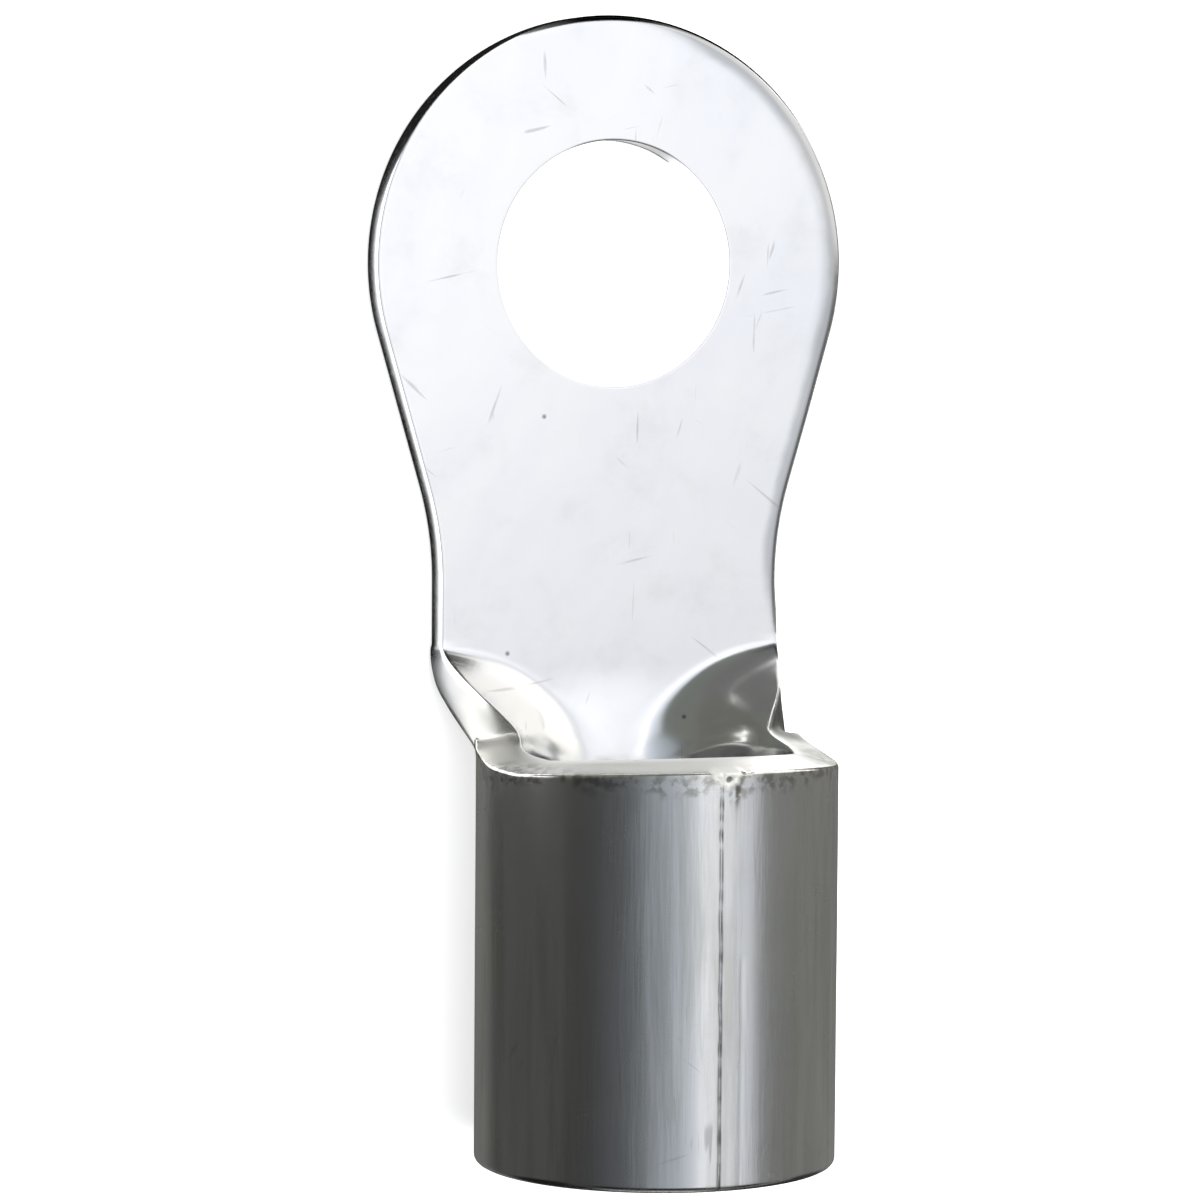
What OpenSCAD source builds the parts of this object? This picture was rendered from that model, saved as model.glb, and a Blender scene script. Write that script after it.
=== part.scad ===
// Ring terminal for a heavy copper cable: flat ring tongue, scooped neck and rolled,
// brazed barrel, all one piece of tin-plated copper sheet.
// Frame: origin at the stud hole centre on the contact face, +Z up the stud,
// +Y toward the ring tip, barrel toward -Y with its seam on top. Millimetres.

/* [Sheet] */
// thickness of the copper sheet
sheet_t = 2.0; // [1.2:0.1:3]

/* [Tongue] */
// outside diameter of the ring
ring_d = 22; // [16:0.5:30]
// stud hole diameter (clearance for an M10 stud)
stud_hole_d = 11; // [6:0.1:14]
// angle of the straight flank that leaves the ring
taper_deg = 17.3; // [8:0.1:30]
// width of the neck between ring and scoop
neck_w = 15.6; // [11:0.1:20]
// radius that blends the flank into the neck
neck_fillet_r = 9; // [3:0.5:14]

/* [Barrel] */
// outside diameter of the rolled barrel
barrel_od = 15.9; // [12:0.1:22]
// length of the closed barrel
barrel_len = 18.2; // [10:0.1:30]
// distance from the stud hole centre to the near rim, at the barrel's axis
rim_y = 21.2; // [18:0.1:32]
// lean of the near rim, its seam side toward the ring
rim_rake = 3.5; // [0:0.5:8]
// break on the outer edge at the cable end of the barrel
edge_break = 0.3; // [0.1:0.05:0.6]
// lead-in at the cable end of the bore
lead_in = 0.4; // [0.1:0.05:0.8]

/* [Seam] */
// width of the brazed seam groove at the surface
seam_w = 0.4; // [0.2:0.05:1]
// depth of the brazed seam groove
seam_depth = 0.3; // [0.1:0.05:0.8]

/* [Scoop] */
// length over which the flat tongue turns into the round barrel
scoop_len = 4.2; // [3:0.1:9]
// how far round the barrel the side edges have climbed at the rim, from the bottom
wrap_deg = 94; // [80:1:140]
// how soon the creases leave the side edges (smaller is sooner)
crease_power = 0.7; // [0.4:0.05:1.5]
// how sharply the creases close in on the middle (larger is sharper)
crease_ease = 1.2; // [0.8:0.1:2.5]
// bend radius at the middle of the sheet where the creases start
crease_r = 2.3; // [1.8:0.1:5]
// how quickly that radius opens to the barrel's (larger is quicker)
open_power = 1.1; // [1:0.1:3]

/* [Hidden] */
barrel_r = barrel_od / 2;
bore_r = barrel_r - sheet_t;
mid_r = barrel_r - sheet_t / 2;
ring_r = ring_d / 2;
neck_half = neck_w / 2;
rim_run = barrel_r * tan(rim_rake);  // how far the raked rim reaches past its middle
rim_half = mid_r * wrap_deg * PI / 180; // half width of the blank at the rim
// the sheet is fully round where its side edges meet the rim
scoop_end = -rim_y - mid_r * cos(wrap_deg) * tan(rim_rake);
scoop_y = scoop_end + scoop_len;     // where the neck starts to curl
stations = 22;
bend_steps = 16;
skin = 0.015;                       // the scoop ends this far inside the barrel wall
lap = 1.2;                          // overlap of the scoop with tongue and barrel
hole_fn = 96;

// ---- tongue outline -------------------------------------------------------
// x of the straight flank at a given y (the flank is tangent to the ring)
function flank_x(y) = (ring_r + y * sin(taper_deg)) / cos(taper_deg);
// y where the flank would meet the neck side, and the tangent length of the blend
corner_y = (neck_half * cos(taper_deg) - ring_r) / sin(taper_deg);
blend_len = neck_fillet_r * tan(taper_deg / 2);
// blend arc points, from the flank down to the neck side
blend_arc = [for (i = [0:8]) let (a = taper_deg * (1 - i / 8))
    [neck_half + neck_fillet_r * (1 - cos(a)), corner_y - blend_len + neck_fillet_r * sin(a)]];
tongue_side = concat(
    [[ring_r * cos(taper_deg), -ring_r * sin(taper_deg)]],
    blend_arc,
    [[neck_half, scoop_y + lap / 2]]);
tongue_points = concat(tongue_side,
    [for (i = [len(tongue_side) - 1:-1:0]) [-tongue_side[i][0], tongue_side[i][1]]]);

module tongue() {
    linear_extrude(height = sheet_t)
        union() {
            circle(r = ring_r, $fn = 120);
            polygon(tongue_points);
        }
}

// ---- scoop ----------------------------------------------------------------
// Each station is a section of the bent sheet: flat in the middle, then one arc on
// each side. Toward the rim the flat runs out and the arc opens to the barrel's radius.
// The blank's side edges widen in a quarter of an ellipse and meet the rim at the shoulder.
function blank_half(t) = rim_half - (rim_half - neck_half) * sqrt(max(0, 1 - t * t));
function flat_half(t) = neck_half * pow(max(0, 1 - pow(t, crease_power)), crease_ease);
function bend_r(t) = mid_r - (mid_r - crease_r) * pow(1 - t, open_power);

// point of the section: side -1 or 1, k along the bend, off from the middle of the sheet
function bend_point(t, y, side, k, off) =
    let (f = flat_half(t), r = bend_r(t), run = (blank_half(t) - f) * k / bend_steps,
         a = run / r * 180 / PI)
    a < 0.05
        ? [side * (f + run), y, sheet_t / 2 + off]
        : [side * (f + (r - off) * sin(a)), y, sheet_t / 2 + off + (r - off) * (1 - cos(a))];
function section_line(t, y, off) = concat(
    [for (k = [bend_steps:-1:0]) bend_point(t, y, -1, k, off)],
    [for (k = [0:bend_steps]) bend_point(t, y, 1, k, off)]);
function section(t, y) = concat(
    section_line(t, y, sheet_t / 2 - skin * t),
    section_line(t, y, -sheet_t / 2 + skin * t));

// stations bunch toward the neck and toward the shoulder
station_q = [for (i = [0:stations]) let (a = 90 * i / stations)
    0.35 * (1 - cos(a)) + 0.65 * sin(a)];
station_t = concat([0], station_q, [1]);
station_y = concat([scoop_y + lap], [for (q = station_q) scoop_y - scoop_len * q],
    [scoop_end - lap]);
line_n = 2 * bend_steps + 2;
ring_n = 2 * line_n;
last = len(station_t) - 1;
scoop_points = [for (i = [0:last]) each section(station_t[i], station_y[i])];
function at(i, j) = i * ring_n + j;
scoop_faces = concat(
    // upper skin
    [for (i = [0:last - 1], j = [0:line_n - 2]) each [
        [at(i, j), at(i, j + 1), at(i + 1, j + 1)],
        [at(i, j), at(i + 1, j + 1), at(i + 1, j)]]],
    // lower skin
    [for (i = [0:last - 1], j = [line_n:ring_n - 2]) each [
        [at(i, j), at(i + 1, j + 1), at(i, j + 1)],
        [at(i, j), at(i + 1, j), at(i + 1, j + 1)]]],
    // cut edges, left then right
    [for (i = [0:last - 1]) each [
        [at(i, 0), at(i + 1, 0), at(i + 1, line_n)],
        [at(i, 0), at(i + 1, line_n), at(i, line_n)],
        [at(i, line_n - 1), at(i + 1, ring_n - 1), at(i + 1, line_n - 1)],
        [at(i, line_n - 1), at(i, ring_n - 1), at(i + 1, ring_n - 1)]]],
    // end faces
    [for (j = [0:line_n - 2]) [at(0, j), at(0, line_n + j), at(0, line_n + j + 1), at(0, j + 1)]],
    [for (j = [0:line_n - 2])
        [at(last, j), at(last, j + 1), at(last, line_n + j + 1), at(last, line_n + j)]]);

module scoop() {
    polyhedron(points = scoop_points, faces = scoop_faces, convexity = 6);
}

// ---- barrel ---------------------------------------------------------------
module barrel() {
    difference() {
        translate([0, -rim_y, barrel_r])
            rotate([90, 0, 0])
                rotate_extrude($fn = 120)
                    polygon([
                        [bore_r, -2 * rim_run - 1],
                        [barrel_r, -2 * rim_run - 1],
                        [barrel_r, barrel_len - edge_break],
                        [barrel_r - edge_break, barrel_len],
                        [bore_r + lead_in, barrel_len],
                        [bore_r, barrel_len - lead_in]]);
        // the near rim is square below the shoulders and leans toward the ring above them
        intersection() {
            translate([-barrel_od, scoop_end, -barrel_od])
                cube([2 * barrel_od, barrel_od, 4 * barrel_od]);
            translate([0, -rim_y, barrel_r])
                rotate([-rim_rake, 0, 0])
                    translate([-barrel_od, 0, -barrel_od])
                        cube([2 * barrel_od, barrel_od, 2 * barrel_od]);
        }
    }
}

// V groove of the brazed butt joint, open at both ends of the barrel (the tongue lies below it)
module seam_groove() {
    translate([0, -rim_y + rim_run + 1, 0])
        rotate([90, 0, 0])
            linear_extrude(height = barrel_len + rim_run + 2)
                polygon([
                    [-seam_w, barrel_od + seam_depth],
                    [0, barrel_od - seam_depth],
                    [seam_w, barrel_od + seam_depth]]);
}

module ring_terminal() {
    color([0.86, 0.87, 0.88])
        difference() {
            union() {
                tongue();
                scoop();
                barrel();
            }
            translate([0, 0, -1])
                cylinder(r = stud_hole_d / 2, h = sheet_t + 2, $fn = hole_fn);
            seam_groove();
        }
}

ring_terminal();
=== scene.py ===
"""Ring terminal: the visual model, its finish and its stage."""
import math

import bmesh
import bpy
from bpy.props import FloatProperty, FloatVectorProperty, PointerProperty
from mathutils import Matrix, Vector, noise


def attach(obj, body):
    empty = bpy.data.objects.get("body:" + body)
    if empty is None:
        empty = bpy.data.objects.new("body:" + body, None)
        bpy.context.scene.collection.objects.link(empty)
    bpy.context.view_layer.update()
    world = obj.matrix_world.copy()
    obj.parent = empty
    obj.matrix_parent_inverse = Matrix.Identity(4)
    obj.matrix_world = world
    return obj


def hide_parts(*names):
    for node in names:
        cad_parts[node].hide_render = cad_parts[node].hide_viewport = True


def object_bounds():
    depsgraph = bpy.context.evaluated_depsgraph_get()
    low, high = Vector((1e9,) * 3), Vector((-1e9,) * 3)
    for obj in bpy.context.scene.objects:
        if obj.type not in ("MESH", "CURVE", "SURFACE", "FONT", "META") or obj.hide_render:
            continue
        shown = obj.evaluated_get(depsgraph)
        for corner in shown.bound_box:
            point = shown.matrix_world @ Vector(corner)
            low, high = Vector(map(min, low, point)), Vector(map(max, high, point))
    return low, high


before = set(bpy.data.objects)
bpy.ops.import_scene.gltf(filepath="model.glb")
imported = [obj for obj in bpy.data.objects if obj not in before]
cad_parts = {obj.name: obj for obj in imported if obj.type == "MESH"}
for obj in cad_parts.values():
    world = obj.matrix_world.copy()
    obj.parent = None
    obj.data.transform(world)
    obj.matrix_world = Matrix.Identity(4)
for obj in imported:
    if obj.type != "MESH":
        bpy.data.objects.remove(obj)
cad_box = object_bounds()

bl_info = {
    "name": "Ring Terminal",
    "version": (1, 0, 0),
    "blender": (4, 5, 0),
    "location": "3D View > Sidebar > Ring Terminal",
    "description": "Builds a tin-plated copper ring terminal and its studio stage",
    "category": "Add Mesh",
}

MM = 0.001


def length(name, text, value, low=0.0, high=100.0):
    """A size in metres from a value in millimetres."""
    return FloatProperty(name=name, description=text, default=value * MM, min=low * MM,
                         max=high * MM, unit="LENGTH", precision=5)


def angle(name, text, value, low=-180.0, high=180.0):
    """An angle in radians from a value in degrees."""
    return FloatProperty(name=name, description=text, default=math.radians(value),
                         min=math.radians(low), max=math.radians(high), subtype="ANGLE")


def colour(name, text, value):
    """A colour from its red, green and blue."""
    return FloatVectorProperty(name=name, description=text, default=value, size=3,
                               min=0.0, max=1.0, subtype="COLOR")


class TerminalSizes(bpy.types.PropertyGroup):
    """Sizes of the sheet, the ring, the scoop, the barrel and their edges"""
    sheet_t: length("Sheet", "Thickness of the copper sheet", 2.0, 0.5, 5)
    ring_d: length("Ring", "Outside diameter of the ring", 22.1, 10, 40)
    hole_d: length("Stud hole", "Diameter of the stud hole", 11.0, 4, 20)
    taper: angle("Taper", "Angle of the flank that leaves the ring", 16.3, 5, 40)
    neck_w: length("Neck", "Width of the neck", 16.0, 6, 30)
    neck_fillet_r: length("Neck blend", "Radius between flank and neck", 15.0, 1, 30)
    barrel_od: length("Barrel", "Outside diameter of the barrel", 15.9, 8, 30)
    barrel_len: length("Barrel length", "Length of the closed barrel", 17.9, 5, 50)
    rim_y: length("Rim distance", "From the stud hole centre to the barrel rim", 21.5, 10, 50)
    scoop_len: length("Scoop", "Length over which the tongue turns into the barrel", 4.3, 2, 20)
    wrap: angle("Wrap", "How far round the sides have climbed at the rim", 110.0, 60, 150)
    rake: angle("Rim rake", "Lean of the near rim, seam side toward the ring", 4.5, 0, 10)
    fold: angle("Crease fold", "How sharply the creases start", 17.0, 0, 40)
    flat_w: length("Scoop flat", "Half width of the flat left at the barrel rim", 1.3, 0, 4)
    flat_lift: length("Flat rise", "How far the flat rises on its way into the barrel", 0.55, 0, 1)
    scoop_tail: length("Scoop tail", "How far the scoop's floor runs on inside", 1.4, 0, 4)
    roll_w: length("Rollover width", "Width of the rollover on the right edge", 1.0, 0.1, 3)
    roll_h: length("Rollover depth", "Depth of the rollover on the ring's right edge", 0.13, 0, 1)
    edge_r: length("Edge radius", "Radius of the upper edge on the burr side", 0.03, 0.02, 1)
    roll_r: length("Rollover radius", "Radius of the upper edge at the rollover", 0.4, 0.02, 1)
    back_r: length("Back edge radius", "Radius of the stamped lower edge", 0.55, 0.02, 1)
    rim_r: length("Rim radius", "Radius of the barrel's outer edges", 0.10, 0.02, 1)
    mouth_r: length("Mouth radius", "Radius of the barrel's outer edge at the mouth", 0.3, 0.02, 1)
    rim_back: length("Rim slope", "How far the rim's outer edge stands back", 0.48, 0, 1)
    seam_w: length("Seam width", "Half width of the seam groove", 0.055, 0.02, 1)
    seam_h: length("Seam depth", "Depth of the seam groove", 0.055, 0, 1)


class TerminalFinish(bpy.types.PropertyGroup):
    """Colours of the metal and the floor"""
    tin: colour("Tin", "Colour of the tin plating", (0.92, 0.922, 0.925))
    cool_tin: colour("Cool tin", "Colour of the bluish smears on the tin", (0.89, 0.895, 0.925))
    dull_tin: colour("Dull tin", "Colour of tarnished tin", (0.62, 0.62, 0.58))
    braze: colour("Braze", "Colour of the plated braze in the seam", (0.80, 0.80, 0.76))
    dirt: colour("Dirt", "Colour of dirt in pits and in the seam", (0.10, 0.10, 0.09))
    gloss: FloatProperty(name="Roughness", description="Roughness of clean tin", default=0.13,
                         min=0.02, max=1.0, subtype="FACTOR")
    floor: colour("Floor", "Colour of the floor", (0.9, 0.9, 0.9))


class StageSizes(bpy.types.PropertyGroup):
    """Where the camera stands and how large the tent is"""
    yaw: angle("Camera yaw", "Camera swing toward -X", 19.8)
    pitch: angle("Camera pitch", "Camera swing toward the ring tip", 4.06)
    roll: angle("Camera roll", "Camera roll", 0.41)
    distance: length("Camera distance", "Camera to the middle of the terminal", 217.1, 50, 1000)
    lens: FloatProperty(name="Lens", description="Focal length in millimetres", default=147.0)
    tent_r: length("Tent", "Radius of the light tent", 260.0, 50, 1000)


# ---------------------------------------------------------------- the bent sheet
# Lengths below are in millimetres. q runs from 0 at the neck to 1 at the barrel's rim.
# A pair that is given to ramp() is the start of the ramp and its run.
WAIST = 0.5                 # how far the blank draws in before it flares to the rim
FLARE_POWER = 18            # how late that flare comes
FLOOR_END = 0.9             # half width that the scoop's flat narrows to before it closes
OPEN_CURVE = 0.25           # curvature of the scoop's walls at the neck: 1 is the barrel's
CURL = (0.25, 0.68)         # ramp of q over which the walls curl further
CREASE_SOFT = (0.05, 1.6)   # half width over which the crease is rounded, at q = 0 and per q
TAIL_HALF = 7.0             # half width of the floor that runs on inside the barrel
FLAT_AHEAD = 0.55           # share of the scoop over which the flat at the rim fades out
FLAT_BEHIND = 2.6           # and its length inside the barrel
BELLY_RISE = (1.0, 5.5)     # ramp of the floor's rise, behind the scoop's start
BELLY_FALL = (15, -8)       # and of its fall
BELLY_HALF = (8.0, 3.2)     # half widths of that rise: on the blank and on the floor
LEFT_PRESS = 0.38           # the left flank is pressed in this much more than the right
PRESS_ENDS = (0.45, 0.2)    # parts of q over which that starts and ends
LEAN_ENDS = (0.08, 0.45)    # parts of q over which the thickness starts and stops leaning
RIM_UP_R = 0.12             # radius of the rolled rim's inner edge
ROLL_SHARE = 0.8            # part of a full round that the rollover has at the edge
BEVEL_U, BEVEL_V = (1, 4), (-7, 6)      # ramps of its bevel across and along
ROUND_RIGHT = (0, 5)        # ramp across of its round
ROUND_TIP_U, ROUND_TIP_V = (-5, 4), (3, 6)      # ramps of the same round over the tip
ROUND_FADE = 2.5            # the round fades out over this length next to the scoop
WAVES = ((0.008, 0.22, 3.1), (0.003, 0.75, 0.0))    # height, closeness, shift of the noise
SEAM_REACH = 3.0            # the marks of the seam lie within this of it
SEAM_WOBBLE = 0.05          # how far it wanders
GROOVE_X = -0.02            # its groove lies this far beside it
GROOVE_DEPTH = (0.25, 0.6, 0.8)     # shares of its depth: least, mean and swing
SEAM_START = -1.0           # its marks start here, behind the rim
SOLDER_MARKS = (            # low step and fine line: across, half width, height, start
    (0.45, 0.22, 0.010, SEAM_START), (0.85, 0.07, -0.012, 8.0))
BRAZE_MARKS = (             # across, behind the rim, half width, half length, height
    (0.22, 0.45, 0.45, 0.40, 0.20), (0.45, 1.30, 0.16, 0.55, 0.07),
    (0.25, 0.75, 0.12, 0.12, -0.20), (1.00, 0.45, 0.14, 0.08, -0.15))
PAST_FILLET = 0.5           # the mesh changes from ring to neck this far past the fillet
INSIDE_RIM = 3.4            # and from scoop to barrel this far inside the rim


def ramp(x, start, run):
    """0 at start and 1 one run further on, level beyond; a negative run faces the other way."""
    return min(1.0, max(0.0, (x - start) / run))


def smooth(k):
    """Eases both ends of a ramp."""
    return k * k * (3 - 2 * k)


def bell(x, middle, width):
    """1 in the middle, falling to nearly 0 at twice the width."""
    return math.exp(-((x - middle) / width) ** 2)


class Sheet:
    """Places points of the flat blank (u across, v along, off through) on the bent sheet."""

    def __init__(self, s):
        k = 1.0 / MM
        self.t = s.sheet_t * k
        self.ring_r = s.ring_d * k / 2
        self.hole_r = s.hole_d * k / 2
        self.taper = s.taper
        self.neck = s.neck_w * k / 2
        self.blend_r = s.neck_fillet_r * k
        self.barrel_r = s.barrel_od * k / 2
        self.mid_r = self.barrel_r - self.t / 2
        self.bore_r = self.barrel_r - self.t
        self.rim_mid = -s.rim_y * k
        self.rake = math.tan(s.rake)
        self.mouth = self.rim_mid - s.barrel_len * k
        self.wrap = s.wrap
        self.rim_half = self.mid_r * s.wrap
        self.rim = self.rim_at(self.rim_half)
        self.scoop_len = s.scoop_len * k
        self.scoop = self.rim + self.scoop_len
        self.fold = s.fold
        self.flat_w = s.flat_w * k
        self.lift = s.flat_lift * k
        self.tail = s.scoop_tail * k
        self.roll_w = s.roll_w * k
        self.roll_h = s.roll_h * k
        self.edge_r = s.edge_r * k
        self.roll_r = s.roll_r * k
        self.back_r = s.back_r * k
        self.rim_r = s.rim_r * k
        self.mouth_r = s.mouth_r * k
        self.rim_back = s.rim_back * k
        self.seam_w = s.seam_w * k
        self.seam_h = s.seam_h * k
        self.seam_u = math.pi * self.mid_r
        # where the flanks would meet the neck, and how far the fillet reaches from there
        self.corner_y = (self.neck * math.cos(self.taper) - self.ring_r) / math.sin(self.taper)
        self.blend_run = self.blend_r * math.tan(self.taper / 2)
        self.neck_y = self.corner_y - self.blend_run - PAST_FILLET
        self.low_v = self.rim - INSIDE_RIM

    def rim_at(self, u):
        """Where the leaning rim crosses the blank."""
        return self.rim_mid - self.mid_r * math.cos(u / self.mid_r) * self.rake

    def shrink(self, q):
        """Inner skin length against blank length: less where the sheet is rolled."""
        return 1 - (1 - self.bore_r / self.mid_r) * smooth(q)

    def half(self, q):
        """Half width of the blank."""
        flare = self.bore_r * self.wrap - self.neck + WAIST
        return (self.neck - WAIST * q + flare * q ** FLARE_POWER) / self.shrink(q)

    def section(self, q):
        """Across the scoop: flat half width, then an arc's radius and start angle."""
        flat = (self.neck * (1 - math.sqrt(q)) + FLOOR_END * q) * (1 - q ** 4)
        r = self.bore_r / (OPEN_CURVE + (1 - OPEN_CURVE) * smooth(ramp(q, *CURL)))
        return flat, r, self.fold * math.sin(math.pi * q) ** 1.5

    def scooped(self, u, q):
        """Across the scoop: how far out and up a point lies that is u from the middle."""
        flat, r, start = self.section(q)
        s = u * self.shrink(q) - flat
        soft = min(CREASE_SOFT[0] + CREASE_SOFT[1] * q, 0.9 * flat) + 1e-6
        run = max(s, 0.0) if abs(s) > soft else (s + soft) ** 2 / (4 * soft)
        a = start + run / r
        return (flat + s - run + r * (math.sin(a) - math.sin(start)),
                r * (math.cos(start) - math.cos(a)))

    def flatten(self, x, v):
        """Share of its height that the floor keeps beside the flat at the rim."""
        reach = FLAT_AHEAD * self.scoop_len if v > self.rim else FLAT_BEHIND
        w = self.flat_w * max(0.0, 1 - ((v - self.rim) / reach) ** 2)
        return 1 - bell(x, 0, w) if w > 0.02 else 1.0

    def belly(self, u, x, v):
        """How far the floor is drawn up on its way into the barrel."""
        d = self.scoop - v
        k = smooth(ramp(d, *BELLY_RISE)) * ramp(d, *BELLY_FALL)
        k *= max(0.0, 1 - (u / BELLY_HALF[0]) ** 4)
        return self.lift * k * bell(x, 0, BELLY_HALF[1])

    def skin(self, u, v):
        """Place of a point of the inner skin: the tongue's upper face, the barrel's bore."""
        side = -1.0 if u < 0 else 1.0
        u = abs(u)
        if v >= self.scoop:
            return Vector((side * u, v, self.t))
        tail = self.tail * max(0.0, 1 - (u / TAIL_HALF) ** 2) ** 2
        q = (self.scoop - v) / (self.scoop_len + tail)
        if u >= self.rim_half or q >= 1:
            a = u / self.mid_r
            x, z = self.bore_r * math.sin(a), self.bore_r * (1 - math.cos(a))
        else:
            x, z = self.scooped(u, q)
        if u < self.rim_half:
            z *= self.flatten(x, v)
        z += self.belly(u, x, v)
        if side < 0 and 0 < q < 1 and u < self.rim_half:
            press = smooth(min(ramp(q, 0, PRESS_ENDS[0]), ramp(q, 1, -PRESS_ENDS[1])))
            x -= LEFT_PRESS * press * min(1.0, x / self.neck) ** 2
        return Vector((side * x, v, self.t + z))

    def bend(self, u, v, off):
        """Place and upward normal of a blank point."""
        e = 1e-3
        p = self.skin(u, v)
        if v >= self.scoop:
            return p + Vector((0, 0, off - self.t / 2)), Vector((0, 0, 1))
        n = (self.skin(u + e, v) - self.skin(u - e, v)).cross(
            self.skin(u, v + e) - self.skin(u, v - e))
        q = (self.scoop - v) / self.scoop_len
        start = min(1.0, q / LEAN_ENDS[0])
        lean = max(min(start, ramp(q, 1, -LEAN_ENDS[1])),
                   start * max(0.0, 1 - (u / TAIL_HALF) ** 2))
        n.y *= smooth(lean)
        n.normalize()
        return p + n * (off - self.t / 2), n

    def from_edge(self, u, v):
        """Distance from the tongue's outline."""
        u = abs(u)
        s, c = math.sin(self.taper), math.cos(self.taper)
        if math.atan2(v, max(u, 1e-9)) >= -self.taper:
            return self.ring_r - math.hypot(u, v)
        flank = (self.ring_r * c - u) * c + (v + self.ring_r * s) * s
        straight = self.neck - u
        k = 4 * self.blend_r * (1 / math.cos(self.taper / 2) - 1)
        return max(flank, straight) + max(0.0, k - abs(flank - straight)) ** 2 / (4 * k)

    def rollover(self, u, v):
        """How far the upper skin drops along the right edge: a bevel that ends in a round.

        The bevel fades toward the middle and the neck; the round reaches over the tip.
        """
        d = self.from_edge(u, v)
        drop = ramp(u, *BEVEL_U) * ramp(v, *BEVEL_V) * self.roll_h
        drop *= max(0.0, 1 - d / self.roll_w)
        if d < self.roll_r:
            k = self.roll_r - max(d, 0.0)
            share = max(ramp(u, *ROUND_RIGHT), ramp(v, *ROUND_TIP_V) * ramp(u, *ROUND_TIP_U))
            share *= ramp(v, self.scoop, ROUND_FADE) * ROLL_SHARE
            drop += share * (self.roll_r - math.sqrt(self.roll_r ** 2 - k * k))
        return drop

    def seam(self, u, v):
        """Height of the barrel's outer skin near the seam: groove, solder and braze."""
        x = self.seam_u - abs(u)
        if x >= SEAM_REACH:
            return 0.0
        x = x if u >= 0 else -x
        wob = SEAM_WOBBLE * noise.noise(Vector((0, v * 0.6, 7)))
        least, mean, swing = GROOVE_DEPTH
        depth = max(least, mean + swing * noise.noise(Vector((5, v * 2.3, 0))))
        w = -self.seam_h * depth * bell(x, GROOVE_X + wob, self.seam_w)
        for across, half_w, height, start in SOLDER_MARKS:
            if v < self.rim - start:
                w += height * bell(x, across + wob, half_w)
        d = self.rim_at(self.seam_u) - v
        for across, along, half_w, half_l, height in BRAZE_MARKS:
            w += height * bell(x, across, half_w) * bell(d, along, half_l)
        return w

    def relief(self, u, v, off, p):
        """Small departures of the skin, outward from the sheet's middle."""
        w = sum(height * noise.noise(p * closeness + Vector((shift, 0, 0)))
                for height, closeness, shift in WAVES)
        if off > 0 and v > self.scoop:
            w -= self.rollover(u, v)
        if off < 0 and v < self.rim - SEAM_START:
            w += self.seam(u, v)
        return w

    def point(self, u, v, off):
        """Place in metres of a blank point, relief included."""
        p, n = self.bend(u, v, off)
        grow = self.relief(u, v, off, p) * (off / (self.t / 2))
        return (p + n * grow) * MM


INNER_SHARES = (1.0, 0.8, 0.62, 0.48, 0.36, 0.27, 0.2, 0.14)    # of the section's depth
FACE_SHARES = (0.3, 0.5, 0.7)                                   # down the edge's flat face
UP_STEPS, LOW_STEPS = 4, 5                                      # in the upper and lower round


def edge_profile(sheet, style, depth, low_r=None):
    """Edge section from the upper skin round to the lower: (distance in, off) pairs.

    style runs from 0, the stamped edge, to 1, the rolled rim.
    """
    t = sheet.t / 2
    up_r = sheet.edge_r * (1 - style) + RIM_UP_R * style
    low_r = low_r or sheet.back_r + (sheet.rim_r - sheet.back_r) * min(1.0, 2 * style)
    back = sheet.rim_back * max(0.0, 2 * style - 1)
    pts = [(f * depth, t) for f in INNER_SHARES]
    edge = []
    for i in range(UP_STEPS + 1):
        a = math.pi / 2 * i / UP_STEPS
        edge.append((up_r * (1 - math.sin(a)), t - up_r * (1 - math.cos(a))))
    for f in FACE_SHARES:
        edge.append((0.0, (t - up_r) * (1 - f) - (t - low_r) * f))
    for i in range(LOW_STEPS + 1):
        a = math.pi / 2 * i / LOW_STEPS
        edge.append((low_r * (1 - math.cos(a)), -t + low_r * (1 - math.sin(a))))
    pts += [(d + back * (t - off) / (2 * t), off) for d, off in edge]
    low = back + low_r
    pts += [(low + (depth - low) * f, -t) for f in (0.15, 0.5, 1.0)]
    return pts


# Ramps of the shares that the finish reads. Those of the lines are in degrees from +X.
CUT_OFF = (0.97, -0.2)              # in half thicknesses
# BAND_U and BAND_V place the rollover's grey band, which is painted shade
BAND_U, BAND_V = (1, 4), (-17, 4)
# TIP_LINE to LINE_FADE place a near-black line of painted shade along the tip's and the hole's
# upper edges
TIP_LINE = ((18, 20), (122, -25))
HOLE_LINE = ((40, 25), (125, -20))
HOLE_LINE_R = (0.108, -0.06)        # outward from the hole
HOLE_LINE_SHARE = 0.75
LINE_W = 0.26                       # width of the tip's line where it is widest
LINE_SLIM = 0.10                    # which it loses over the next run of degrees
LINE_MIDDLE, LINE_RUN = 95, 60
LINE_FADE = 0.08


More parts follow.
